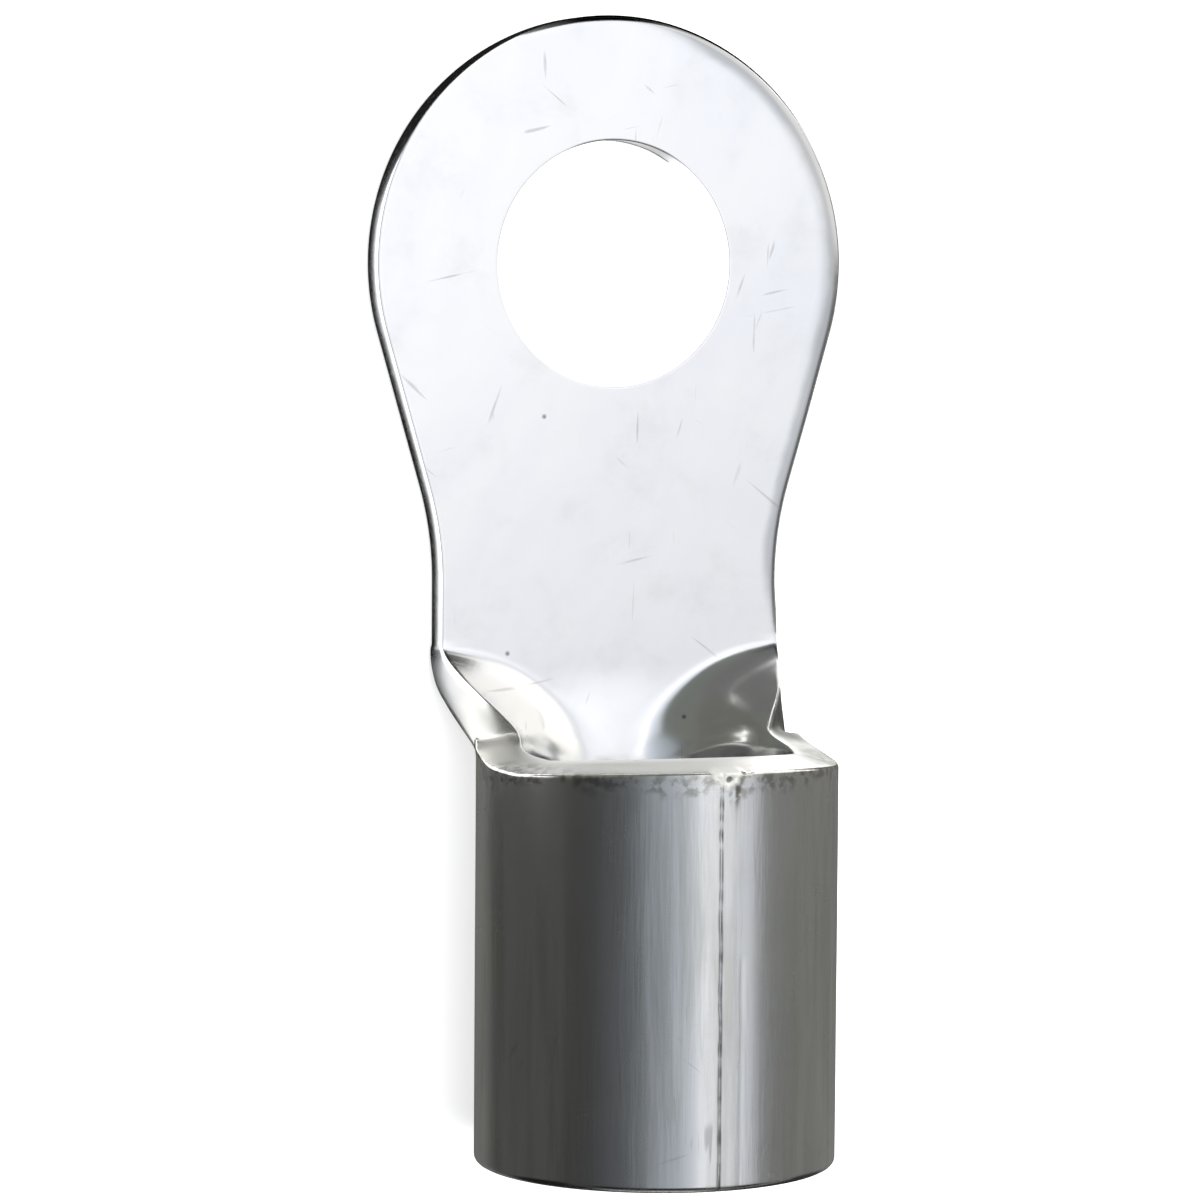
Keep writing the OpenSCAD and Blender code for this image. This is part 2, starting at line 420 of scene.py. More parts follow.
class Grid:
    """Collects rows of placed points and joins them into quads, on both halves.

    cut, band and line hold a share from 0 to 1 for each point; the finish reads them. band and
    line mark where painted shade goes.
    """

    def __init__(self, sheet):
        self.sheet = sheet
        self.verts = []
        self.faces = []
        self.cut = []
        self.band = []
        self.line = []

    def cut_share(self, off):
        """1 on the sheared faces, 0 on the skins."""
        return ramp(abs(off) / (self.sheet.t / 2), *CUT_OFF)

    def rollover_shade_share(self, u, v):
        """Share of the rollover's painted shade: 1 at the tongue's right edge, 0 from the
        rollover's width inside it.
        """
        width, d = self.sheet.roll_w, self.sheet.from_edge(u, v)
        return min(ramp(u, *BAND_U), ramp(v, *BAND_V)) * ramp(d, width, -width)

    def edge_shade_share(self, u, v):
        """Share of painted shade: 1 along the tip's upper edge and less along the hole's, on the
        side of the tip.
        """
        a = math.degrees(math.atan2(v, u))
        tip = min(ramp(a, *end) for end in TIP_LINE)
        hole = min(ramp(a, *end) for end in HOLE_LINE)
        width = LINE_W - LINE_SLIM * min(1.0, abs(a - LINE_MIDDLE) / LINE_RUN)
        from_hole = math.hypot(u, v) - self.sheet.hole_r
        return max(tip * ramp(self.sheet.from_edge(u, v), width, -LINE_FADE),
                   HOLE_LINE_SHARE * hole * ramp(from_hole, *HOLE_LINE_R))

    def block(self, rays, closed=False):
        """Adds one zone: neighbouring rays have as many points as each other."""
        n = len(rays[0])
        m = n if closed else n - 1
        for side in (1, -1):
            base = len(self.verts)
            for ray in rays:
                for (u, v, off) in ray:
                    self.verts.append(self.sheet.point(side * u, v, off))
                    self.cut.append(self.cut_share(off))
                    self.band.append(self.rollover_shade_share(side * u, v))
                    self.line.append(self.edge_shade_share(side * u, v))
            for i in range(len(rays) - 1):
                for j in range(m):
                    a = base + i * n + j
                    b = base + i * n + (j + 1) % n
                    c, d = b + n, a + n
                    self.faces.append((a, b, c, d) if side > 0 else (a, d, c, b))


# How finely the sheet is divided
EDGE_DEEP = 1.3             # reach of the edge section in from the outline
HOLE_DEEP = 0.9             # and out from the hole
MOUTH_DEEP = 1.0            # and along from the barrel's mouth
RING_STEPS = 16             # on the ring and the web, from the outline to the hole
HALF_STEPS = 34             # from the middle to the edge of the neck, scoop and rim
NECK_ROWS = 6
WALL_ROWS, LOW_ROWS = 34, 52    # the scoop's rays from the middle line and from the barrel
RIM_COLS = 24               # from the scoop to the marks of the seam
BARREL_STEPS = 72
SEAM_STEPS = (0, 0.03, 0.06, 0.09, 0.12, 0.16, 0.2, 0.25, 0.3, 0.36, 0.42, 0.48, 0.54, 0.6,
              0.66, 0.72, 0.78, 0.85, 0.93, 1.05, 1.2, 1.4)     # columns, from the seam


def lerp(a, b, f):
    """The point at share f of the way from a to b."""
    return (a[0] + (b[0] - a[0]) * f, a[1] + (b[1] - a[1]) * f)


def inward_edge(sheet, start, inward, style, depth, low_r=None):
    """The edge section placed at a point of the outline."""
    return [(start[0] + inward[0] * d, start[1] + inward[1] * d, off)
            for d, off in edge_profile(sheet, style, depth, low_r)]


def ray_open(sheet, start, inward, style, depth, end, steps, low_r=None):
    """Ray from an interior point over the edge and back below to the same point."""
    q = (start[0] + inward[0] * depth, start[1] + inward[1] * depth)
    t = sheet.t / 2
    top = [(*lerp(end, q, i / steps), t) for i in range(steps)]
    low = [(*lerp(q, end, i / steps), -t) for i in range(1, steps + 1)]
    return top + inward_edge(sheet, start, inward, style, depth, low_r) + low


def ring_outline(sheet, y_end, ring, flank, blend, neck):
    """Right half of the tongue's outline with inward normals, from the tip to y_end.

    ring, flank, blend and neck are the numbers of steps in each stretch.
    """
    out = []
    a0, a1 = math.pi / 2, -sheet.taper
    for i in range(ring + 1):
        a = a0 + (a1 - a0) * i / ring
        out.append(((sheet.ring_r * math.cos(a), sheet.ring_r * math.sin(a)),
                    (-math.cos(a), -math.sin(a))))
    s, c = math.sin(sheet.taper), math.cos(sheet.taper)
    blend_y = sheet.corner_y - sheet.blend_run
    p0 = out[-1][0]
    p1 = (sheet.neck + sheet.blend_r * (1 - c), blend_y + sheet.blend_r * s)
    for i in range(1, flank + 1):
        out.append((lerp(p0, p1, i / flank), (-c, s)))
    for i in range(1, blend + 1):
        a = sheet.taper * (1 - i / blend)
        out.append(((sheet.neck + sheet.blend_r * (1 - math.cos(a)),
                     blend_y + sheet.blend_r * math.sin(a)),
                    (-math.cos(a), math.sin(a))))
    y0 = out[-1][0][1]
    for i in range(1, neck + 1):
        out.append(((sheet.neck, y0 + (y_end - y0) * i / neck), (-1.0, 0.0)))
    return out


def fan_edge(sheet, f):
    """Point and inward normal of the scoop's outline, f = 0 at the neck, 1 at the rim."""
    def at(g):
        q = math.sin(math.pi / 2 * g)
        return (sheet.half(q), sheet.scoop - q * sheet.scoop_len)
    if f <= 0:
        return at(0.0), (-1.0, 0.0)
    if f >= 1:
        return at(1.0), (0.0, -1.0)
    p, a, b = at(f), at(max(0.0, f - 0.01)), at(min(1.0, f + 0.01))
    du, dv = b[0] - a[0], b[1] - a[1]
    k = math.hypot(du, dv)
    lift = -du / k * min(1.0, 5 * f)
    return p, (-math.sqrt(1 - lift * lift), lift)


def hole_edge(sheet, a):
    """The edge section placed on the hole at angle a, and the point where it ends."""
    c, s = math.cos(a), math.sin(a)
    pts = [((sheet.hole_r + d) * c, (sheet.hole_r + d) * s, off)
           for d, off in edge_profile(sheet, 0.0, HOLE_DEEP)]
    return pts, ((sheet.hole_r + HOLE_DEEP) * c, (sheet.hole_r + HOLE_DEEP) * s)


def ring_rays(sheet):
    """Closed sections of the ring from its outer edge to the hole and back."""
    t = sheet.t / 2
    rays = []
    for p, n in ring_outline(sheet, sheet.neck_y, ring=84, flank=22, blend=10, neck=3):
        q = (p[0] + n[0] * EDGE_DEEP, p[1] + n[1] * EDGE_DEEP)
        a = math.atan2(q[1], q[0]) if p[0] > 1e-9 else math.pi / 2
        hole, r = hole_edge(sheet, a)
        low = [(*lerp(q, r, i / RING_STEPS), -t) for i in range(1, RING_STEPS)]
        top = [(*lerp(r, q, i / RING_STEPS), t) for i in range(1, RING_STEPS)]
        rays.append(inward_edge(sheet, p, n, 0.0, EDGE_DEEP) + low + hole[::-1] + top)
    return rays


def web_rays(sheet):
    """Sections of the web between the neck and the hole."""
    t = sheet.t / 2
    inner = sheet.neck - EDGE_DEEP
    first, last = math.atan2(sheet.neck_y, inner), -math.pi / 2
    rays = []
    for j in range(HALF_STEPS + 1):
        f = j / HALF_STEPS
        e = (inner * (1 - f), sheet.neck_y)
        hole, r = hole_edge(sheet, first + (last - first) * f)
        top = [(*lerp(e, r, i / RING_STEPS), t) for i in range(RING_STEPS)]
        low = [(*lerp(r, e, i / RING_STEPS), -t) for i in range(1, RING_STEPS + 1)]
        rays.append((top + hole + low)[::-1])
    return rays


def neck_rays(sheet):
    """Sections across the flat neck."""
    rays = []
    for i in range(NECK_ROWS + 1):
        y = sheet.neck_y + (sheet.scoop - sheet.neck_y) * i / NECK_ROWS
        rays.append(ray_open(sheet, (sheet.neck, y), (-1.0, 0.0), 0.0, EDGE_DEEP, (0.0, y),
                             HALF_STEPS))
    return rays


def low_columns(sheet):
    """Places across the blank where the scoop's rays start inside the barrel."""
    return [sheet.rim_half * i / LOW_ROWS for i in range(LOW_ROWS + 1)]


def scoop_rays(sheet):
    """Rays that fan out from the scoop's floor to its edge."""
    starts = [(0.0, sheet.scoop + (sheet.low_v - sheet.scoop) * i / WALL_ROWS)
              for i in range(WALL_ROWS)]
    starts += [(u, sheet.low_v) for u in low_columns(sheet)]
    rays = []
    for i, start in enumerate(starts):
        f = i / (len(starts) - 1)
        p, n = fan_edge(sheet, f)
        rays.append(ray_open(sheet, p, n, ramp(f, 0.15, 0.7), EDGE_DEEP, start, HALF_STEPS))
    return rays


def rim_columns(sheet):
    """Places across the blank of the rim's sections, from the scoop to the seam."""
    far = sheet.seam_u - sheet.rim_half
    plain = [(far - SEAM_STEPS[-1]) * i / RIM_COLS for i in range(RIM_COLS)]
    return [sheet.rim_half + c for c in plain + [far - s for s in SEAM_STEPS[::-1]]]


def rim_rays(sheet):
    """Sections over the barrel's rim from the scoop round to the seam."""
    return [ray_open(sheet, (u, sheet.rim_at(u)), (0.0, -1.0), 1.0, EDGE_DEEP,
                     (u, sheet.low_v), HALF_STEPS) for u in rim_columns(sheet)]


def barrel_rays(sheet):
    """Sections along the barrel, round its mouth."""
    rays = []
    for u in low_columns(sheet) + rim_columns(sheet)[1:]:
        ray = ray_open(sheet, (u, sheet.mouth), (0.0, 1.0), 0.5, MOUTH_DEEP, (u, sheet.low_v),
                       BARREL_STEPS, sheet.mouth_r)
        rays.append(ray[::-1])
    return rays


def build_sheet_mesh(sheet):
    """The whole sheet, zone by zone from the tip to the mouth."""
    grid = Grid(sheet)
    grid.block(ring_rays(sheet), closed=True)
    for zone in (web_rays, neck_rays, scoop_rays, rim_rays, barrel_rays):
        grid.block(zone(sheet))
    return grid


WELD = 1e-6         # points of neighbouring zones that are closer are joined, in metres


def make_object(name, verts, faces, marks=()):
    """A smooth mesh object in the scene; marks are (name, shares) for its points."""
    mesh = bpy.data.meshes.new(name)
    mesh.from_pydata([tuple(v) for v in verts], [], faces)
    bm = bmesh.new()
    bm.from_mesh(mesh)
    for mark, shares in marks:
        layer = bm.verts.layers.float.new(mark)
        for vert, share in zip(bm.verts, shares):
            vert[layer] = share
    bmesh.ops.remove_doubles(bm, verts=bm.verts, dist=WELD)
    bmesh.ops.recalc_face_normals(bm, faces=bm.faces)
    bm.to_mesh(mesh)
    bm.free()
    for poly in mesh.polygons:
        poly.use_smooth = True
    obj = bpy.data.objects.new(name, mesh)
    bpy.context.scene.collection.objects.link(obj)
    return obj


# ---------------------------------------------------------------- materials
class Nodes:
    """Short calls that add and link shader nodes."""

    def __init__(self, name):
        self.material = bpy.data.materials.new(name)
        self.material.cycles.emission_sampling = "NONE"
        self.material.use_nodes = True
        self.tree = self.material.node_tree
        self.tree.nodes.clear()

    def add(self, kind, **values):
        node = self.tree.nodes.new(kind)
        for key, value in values.items():
            setattr(node, key, value)
        return node

    def link(self, a, b):
        self.tree.links.new(a, b)

    def place(self):
        """Object coordinates, then x, y and z on their own."""
        at = self.add("ShaderNodeTexCoord").outputs["Object"]
        xyz = self.add("ShaderNodeSeparateXYZ")
        self.link(at, xyz.inputs[0])
        return (at, *xyz.outputs)

    def attribute(self, name):
        return self.add("ShaderNodeAttribute", attribute_name=name).outputs["Fac"]

    def math(self, op, a, b=None, c=None, clamp=False):
        node = self.add("ShaderNodeMath", operation=op, use_clamp=clamp)
        for i, x in enumerate((a, b, c)):
            if x is None:
                continue
            if isinstance(x, (int, float)):
                node.inputs[i].default_value = x
            else:
                self.link(x, node.inputs[i])
        return node.outputs[0]

    def times(self, a, b):
        return self.math("MULTIPLY", a, b)

    def most(self, a, b):
        return self.math("MAXIMUM", a, b)

    def mix(self, f, a, b):
        """Colour a where f is 0, colour b where it is 1."""
        node = self.add("ShaderNodeMix", data_type="RGBA")
        for i, x in ((0, f), (6, a), (7, b)):
            if isinstance(x, (tuple, list)):
                node.inputs[i].default_value = (*x, 1.0)
            else:
                self.link(x, node.inputs[i])
        return node.outputs[2]

    def span(self, x, low, high, to_low=0.0, to_high=1.0, smooth=True):
        """to_low where x is low, to_high where it is high, level beyond both."""
        node = self.add("ShaderNodeMapRange", clamp=True)
        if smooth:
            node.interpolation_type = "SMOOTHSTEP"
        self.link(x, node.inputs[0])
        for i, value in enumerate((low, high, to_low, to_high)):
            node.inputs[i + 1].default_value = value
        return node.outputs[0]

    def reach(self, x, low, high, to_low=0.0, to_high=1.0, smooth=True):
        """The same for a place, with its limits in millimetres."""
        return self.span(x, low * MM, high * MM, to_low, to_high, smooth)

    def noise(self, vector, scale, detail=3.0, rough=0.55, distort=0.0):
        node = self.add("ShaderNodeTexNoise")
        self.link(vector, node.inputs["Vector"])
        node.inputs["Scale"].default_value = scale
        node.inputs["Detail"].default_value = detail
        node.inputs["Roughness"].default_value = rough
        node.inputs["Distortion"].default_value = distort
        return node.outputs["Fac"]

    def turned(self, vector, rotation):
        node = self.add("ShaderNodeMapping")
        self.link(vector, node.inputs["Vector"])
        node.inputs["Rotation"].default_value = rotation
        return node.outputs[0]

    def stretched(self, vector, scale):
        node = self.add("ShaderNodeVectorMath", operation="MULTIPLY")
        self.link(vector, node.inputs[0])
        node.inputs[1].default_value = scale
        return node.outputs[0]

    def distance(self, vector, x, y, z):
        """Distance from a point in millimetres."""
        node = self.add("ShaderNodeVectorMath", operation="DISTANCE")
        self.link(vector, node.inputs[0])
        node.inputs[1].default_value = (x * MM, y * MM, z * MM)
        return node.outputs["Value"]

    def finish(self, surface):
        out = self.add("ShaderNodeOutputMaterial")
        self.link(surface, out.inputs[0])
        return self.material


SCRATCH_TURNS = (0.35, -0.9, 1.35, 0.05)        # directions of the scratches, in radians
RIM_PITS = ((0.25, -0.20, 0.20), (1.0, 0.10, 0.20), (-0.2, -0.1, 0.09))     # x, along, radius


class TinMarks:
    """Where the marks of the finish lie: sockets that are 1 where a mark is full."""

    def __init__(self, n, sheet):
        self.n = n
        self.sheet = sheet
        self.at, self.x, self.y, self.z = n.place()
        self.broad = n.noise(self.at, 120.0, 2.0)
        self.cloud = n.noise(self.at, 380.0, 4.0, 0.6)
        self.grain = n.noise(self.at, 3200.0, 2.0, 0.6)
        smear = n.stretched(n.turned(self.at, (0, 0, 0.5)), (260.0, 90.0, 260.0))
        self.smear = n.noise(smear, 1.0, 3.0, 0.6, 0.4)
        self.scratch = self.scratches()
        self.on_barrel = n.reach(self.y, sheet.rim - 0.5, sheet.rim - 1.2)
        self.streak = self.drawn_streaks()
        on_top = n.reach(self.z, sheet.barrel_r * 1.6, sheet.barrel_r * 1.8)
        self.seam_zone = n.times(on_top, self.on_barrel)
        self.from_seam = n.math("ABSOLUTE", self.x)
        self.beside_seam = n.times(n.reach(self.from_seam, 1.1, 0.3), self.seam_zone)
        self.slit = self.seam_slit()
        self.rust = self.rim_rust()
        self.wear_and_highlight = self.worn_and_highlight_skin()
        self.lump = self.braze_lump()
        self.pit = self.pits()
        self.cut = n.times(n.attribute("cut"), n.reach(self.y, sheet.scoop, sheet.scoop - 1.2))
        self.right_cut = n.times(self.cut, n.reach(self.x, 4.0, 7.0))
        # painted shade: the grey band on the rollover along the ring's right edge
        band = n.math("MULTIPLY_ADD", n.noise(self.at, 500.0, 3.0), 0.3, n.attribute("band"))
        self.band = n.span(band, 0.20, 0.65)
        # painted shade: the dark line along the tip's and the hole's upper edges
        self.painted_edge_shade = n.span(n.attribute("line"), 0.2, 0.9)

    def scratches(self):
        """Short fine scratches in a few directions, broken up by a slow mask."""
        n, scratch = self.n, None
        for i, turn in enumerate(SCRATCH_TURNS):
            flow = n.stretched(n.turned(self.at, (0.15 * i, 0.1, turn)), (3000.0, 210.0, 300.0))
            line = n.span(n.noise(flow, 1.0, 1.0, 0.4, 0.3), 0.73, 0.78)
            mask = n.noise(n.turned(self.at, (0, 0, i * 2.1)), 260.0, 2.0)
            line = n.times(line, n.span(mask, 0.52, 0.62))
            scratch = line if scratch is None else n.most(scratch, line)
        return scratch

    def drawn_streaks(self):
        """Streaks along the barrel."""
        n = self.n
        streak = n.noise(n.stretched(self.at, (900.0, 55.0, 900.0)), 1.0, 4.0, 0.65, 0.2)
        return n.times(n.span(streak, 0.40, 0.72), self.on_barrel)

    def seam_slit(self):
        """The dark line of the seam: broken, and fainter toward the rim."""
        n = self.n
        slit = n.times(n.reach(self.from_seam, 0.09, 0.03), self.seam_zone)
        slit = n.times(slit, n.span(n.noise(self.at, 900.0, 3.0), 0.35, 0.65, 0.15, 1.0))
        return n.times(slit, n.reach(self.y, -26, -31, 0.25, 1.0))

    def rim_rust(self):
        """Corrosion on the barrel just behind the rim, with a ragged end."""
        n, rim = self.n, self.sheet.rim
        ragged = n.math("MULTIPLY_ADD", n.noise(self.at, 700.0, 3.0), 2.2 * MM, self.y)
        under = n.times(n.reach(ragged, rim - 0.2, rim + 0.6),
                        n.reach(self.y, rim - 0.05, rim - 0.35))
        under = n.times(under, n.reach(self.z, 6.5, 8.5))
        return n.times(under, n.span(n.noise(self.at, 2400.0, 4.0), 0.42, 0.62))

    def worn_and_highlight_skin(self):
        """Pale wear on the rim and on the scoop's flanks, partly painted highlight: its cream tint
        also dims their bright reflections to a cream highlight.
        """
        n, rim, scoop = self.n, self.sheet.rim, self.sheet.scoop
        wear_and_highlight = n.times(n.reach(self.y, rim + 1.6, rim + 0.7),
                       n.reach(self.y, rim - 0.5, rim - 0.3))
        wear_and_highlight = n.times(wear_and_highlight, n.reach(self.z, 4.0, 6.5))
        flank = n.times(n.reach(self.y, scoop, scoop - 1.5),
                        n.reach(self.z, 2.1, 3.4, 0.0, 0.6))
        return n.most(wear_and_highlight, n.times(flank, n.reach(self.y, -22.2, -21.6)))

    def braze_lump(self):
        """The pale lump of braze at the rim and its crust along the seam."""
        n, sheet = self.n, self.sheet
        far = n.distance(self.at, 0.25, sheet.rim_mid + 0.15, 2 * sheet.barrel_r)
        ragged = n.math("MULTIPLY_ADD", n.noise(self.at, 1300.0, 2.0), 0.7 * MM, far)
        crust = n.times(self.beside_seam, n.reach(self.y, sheet.rim - 2.0, sheet.rim - 0.7))
        crust = n.times(crust, n.span(n.noise(self.at, 1900.0, 4.0, 0.6), 0.50, 0.62))
        return n.most(n.reach(ragged, 1.25, 0.95), crust)

    def pits(self):
        """Small pits all over, and the larger ones in the braze."""
        n, r = self.n, self.sheet.barrel_r
        cells = n.add("ShaderNodeTexVoronoi")
        n.link(self.at, cells.inputs["Vector"])
        cells.inputs["Scale"].default_value = 620.0
        pick = n.add("ShaderNodeSeparateColor")
        n.link(cells.outputs["Color"], pick.inputs[0])
        pit = n.times(n.span(cells.outputs["Distance"], 0.11, 0.04),
                      n.span(pick.outputs[0], 0.88, 0.90))
        for x, along, size in RIM_PITS:
            top = math.sqrt(r ** 2 - x * x) + r
            far = n.distance(self.at, x, self.sheet.rim_mid + along, top)
            pit = n.most(pit, n.reach(far, size, size * 0.5))
        return pit


# cream tint of wear, partly painted highlight: it dims and warms the reflections on the rim and
# the flanks
WORN_AND_HIGHLIGHT_TIN = (0.90, 0.88, 0.81)
SHEARED_COPPER = (0.40, 0.41, 0.39)     # mottled sheared face of the scoop's right side
SHEARED_PAINTED_SHADE = (0.16, 0.165, 0.15)     # painted shade on the low part of the same face
# grey painted shade on the rollover along the ring's right edge
ROLLOVER_PAINTED_SHADE = (0.48, 0.49, 0.50)
# near-black painted shade along the tip's and the hole's upper edges
PAINTED_EDGE_SHADE = (0.012, 0.012, 0.012)
BRAZE_CRUST = (0.93, 0.92, 0.87)
SCRATCHED_TIN = (0.42, 0.42, 0.41)
CORROSION = (0.30, 0.29, 0.25)


def tin_colour(n, marks, f):
    """The tin's colour, from the plain metal to the marks that lie over it; some of these marks
    are painted shade and painted highlight.
    """
    mottle = n.span(n.noise(marks.at, 800.0, 4.0, 0.65), 0.30, 0.65, 0.45, 1.0)
    mottle = n.times(marks.right_cut, mottle)
    # painted shade: the sheared face is darker low down
    shade = n.times(n.span(marks.right_cut, 0.1, 0.6), n.reach(marks.z, 7.2, 6.0))
    col = n.mix(n.span(marks.smear, 0.35, 0.70), tuple(f.tin), tuple(f.cool_tin))
    for mark, share, paint in (
            (n.span(marks.cloud, 0.50, 0.80), 0.18, f.dull_tin),
            (marks.streak, 0.65, f.dull_tin), (marks.wear_and_highlight, 0.75, WORN_AND_HIGHLIGHT_TIN),
            (mottle, 0.9, SHEARED_COPPER), (shade, 1.0, SHEARED_PAINTED_SHADE),
            (marks.band, 0.75, ROLLOVER_PAINTED_SHADE), (marks.painted_edge_shade, 1.0, PAINTED_EDGE_SHADE),
            (marks.beside_seam, 0.2, f.braze), (marks.lump, 1.0, BRAZE_CRUST),
            (marks.scratch, 0.35, SCRATCHED_TIN), (marks.rust, 0.6, CORROSION),
            (marks.pit, 0.85, f.dirt), (marks.slit, 0.7, f.dirt)):
        col = n.mix(mark if share == 1.0 else n.times(mark, share), col, tuple(paint))
    return col


def tin_roughness(n, marks, f):
    """Rougher where the tin is streaked, sheared, crusted or scratched."""
    rough = n.math("ADD", n.span(marks.cloud, 0.3, 0.8, 0.0, 0.06, False), f.gloss)
    for mark, share in ((marks.streak, 0.10), (marks.beside_seam, 0.10), (marks.cut, 0.25),
                        (marks.lump, 0.35), (marks.scratch, 0.12), (marks.grain, 0.05)):
        rough = n.math("ADD", rough, n.times(mark, share), clamp=True)
    return rough


def tin_bump(n, marks):
    """Waves, clouds, streaks and grain that stand up, pits that lie low."""
    height = n.times(marks.broad, 2.0)
    for mark, share in ((marks.cloud, 0.5), (marks.streak, 0.7), (marks.grain, 0.06),
                        (marks.pit, -0.8)):
        height = n.math("ADD", height, n.times(mark, share))
    bump = n.add("ShaderNodeBump")
    bump.inputs["Strength"].default_value = 0.35
    bump.inputs["Distance"].default_value = 0.02 * MM
    n.link(height, bump.inputs["Height"])
    return bump.outputs[0]


def tin_material(f, sheet):
    """Tin plating on copper, with the marks of rolling, brazing and use."""
    n = Nodes("tinned_copper")
    marks = TinMarks(n, sheet)
    bsdf = n.add("ShaderNodeBsdfPrincipled")
    n.link(n.span(marks.lump, 0.0, 1.0, 1.0, 0.25, False), bsdf.inputs["Metallic"])
    n.link(tin_colour(n, marks, f), bsdf.inputs["Base Color"])
    n.link(tin_roughness(n, marks, f), bsdf.inputs["Roughness"])
    n.link(tin_bump(n, marks), bsdf.inputs["Normal"])
    return n.finish(bsdf.outputs[0])


def floor_material(f):
    """Pale floor; camera and mirror rays see it near white, and it keeps the shadow."""
    n = Nodes("floor_paper")
    diff = n.add("ShaderNodeBsdfDiffuse")
    diff.inputs[0].default_value = (*f.floor, 1.0)
    glow = n.add("ShaderNodeEmission")
    glow.inputs[0].default_value = (1, 1, 1, 1)
    path = n.add("ShaderNodeLightPath")
    seen = n.most(path.outputs["Is Camera Ray"], path.outputs["Is Glossy Ray"])
    seen = n.most(seen, path.outputs["Is Transmission Ray"])
    n.link(n.times(seen, 0.7), glow.inputs[1])
    both = n.add("ShaderNodeAddShader")
    n.link(diff.outputs[0], both.inputs[0])
    n.link(glow.outputs[0], both.inputs[1])
    return n.finish(both.outputs[0])


TENT_LEVELS = (  # angle from straight up toward +X in degrees, colour
    (-90, (0.066, 0.062, 0.055)), (-77, (0.056, 0.055, 0.051)), (-60, (0.056, 0.058, 0.056)),
    (-49, (0.078, 0.082, 0.087)), (-41, (0.103, 0.108, 0.116)), (-33, (0.138, 0.148, 0.157)),
    (-26, (0.248, 0.272, 0.290)), (-18, (0.325, 0.358, 0.385)), (-10, (0.400, 0.432, 0.470)),
    (-3, (0.520, 0.560, 0.600)), (1, (0.590, 0.620, 0.665)), (5, (0.720, 0.745, 0.785)),
    (8.5, (0.920, 0.940, 0.960)), (11, (1.200, 1.210, 1.230)), (14, (0.960, 0.970, 0.995)),
    (19, (0.900, 0.910, 0.935)), (24, (0.850, 0.865, 0.890)), (29, (0.830, 0.847, 0.870)),
    (33, (0.680, 0.693, 0.720)), (38, (0.660, 0.680, 0.706)), (42, (0.590, 0.605, 0.630)),
    (45, (0.360, 0.370, 0.385)), (49, (0.245, 0.255, 0.250)), (56, (0.205, 0.210, 0.198)),
    (66, (0.195, 0.198, 0.184)), (90, (0.188, 0.184, 0.170)))


def card_material(name, grey, left=1.0, right=1.0, mouth=1.0):
    """Matt card that only mirror rays see.

    left, right and mouth are the shares of its grey that it has beyond either side of the
    terminal and beyond the barrel's mouth.
    """
    n = Nodes(name)
    at, x, y = n.place()[:3]
    level = n.times(n.span(n.noise(at, 60.0, 2.0), 0.3, 0.7, 0.9, 1.1, False), grey)
    for place, start, end, share in ((x, -10, -15, left), (x, 10, 15, right),
                                     (y, -46, -52, mouth)):
        if share != 1.0:
            level = n.times(level, n.reach(place, start, end, 1.0, share))
    glow = n.add("ShaderNodeEmission")
    glow.inputs[0].default_value = (1, 1, 0.93, 1)
    n.link(level, glow.inputs[1])
    return n.finish(glow.outputs[0])


def tent_material():
    """Soft light tent: a cylinder of fabric that is bright to one side of the top."""
    n = Nodes("tent_fabric")
    x, y, z = n.place()[1:]
    levels = n.add("ShaderNodeValToRGB")
    turn = n.math("ARCTAN2", x, z)
    n.link(n.span(turn, -math.pi / 2, math.pi / 2, 0, 1, False), levels.inputs[0])
    stops = levels.color_ramp.elements
    while len(stops) < len(TENT_LEVELS):
        stops.new(0.5)
    for stop, (deg, level) in zip(stops, TENT_LEVELS):
        stop.position = (deg + 90) / 180
    for stop, (deg, level) in zip(stops, TENT_LEVELS):
        stop.color = (*level, 1)

    # beyond the tip: grey fabric, a black gap to its right and pale fabric past that
    skew = n.math("MULTIPLY_ADD", x, -0.6, y)
    back = n.mix(n.reach(x, 85, 110), (0.14, 0.15, 0.135), (0.01, 0.01, 0.01))
    back = n.mix(n.reach(x, 150, 190), back, (0.50, 0.49, 0.45))
    cloth = n.mix(n.reach(skew, 120, 170), levels.outputs[0], back)
    # a bright flap low on the right, from the ring on
    flap = n.times(n.reach(x, 150, 190), n.reach(y, 0, 30))
    cloth = n.mix(flap, cloth, (1.0, 0.99, 0.95))
    # a little brighter toward the tip; dark behind the mouth, except low down
    fade = n.reach(y, -45, 26, 0.88, 1.2, False)
    lit = n.most(n.reach(y, -190, -150, 0.04, 1.0), n.reach(z, 150, 100, 0.0, 1.0))
    glow = n.add("ShaderNodeEmission")
    n.link(cloth, glow.inputs[0])
    n.link(n.times(fade, lit), glow.inputs[1])
    return n.finish(glow.outputs[0])


# ---------------------------------------------------------------- the stage
BASE = cad_box[0][2] / MM       # height of the terminal's underside, in millimetres
GAP = 0.03                      # the floor lies this far below it, the plain cards above


def strip(name, pairs):
    """A band of quads between pairs of points, in millimetres."""
    verts = [(x * MM, y * MM, z * MM) for pair in pairs for x, y, z in pair]
    faces = [(a, a + 1, a + 3, a + 2) for a in range(0, len(verts) - 2, 2)]
    return make_object(name, verts, faces)


def card(name, pairs, material):
    """A card that the camera doesn't see and that casts no shadow."""
    obj = strip(name, pairs)
    obj.data.materials.append(material)
    obj.visible_camera = False
    obj.visible_shadow = False
    obj.visible_diffuse = False


def build_floor(finish):
    """Wide floor just below the terminal."""
    reach, z = 1500, BASE - GAP
    floor = strip("floor", [((-reach, -reach, z), (reach, -reach, z)),
                            ((-reach, reach, z), (reach, reach, z))])
    floor.data.materials.append(floor_material(finish))


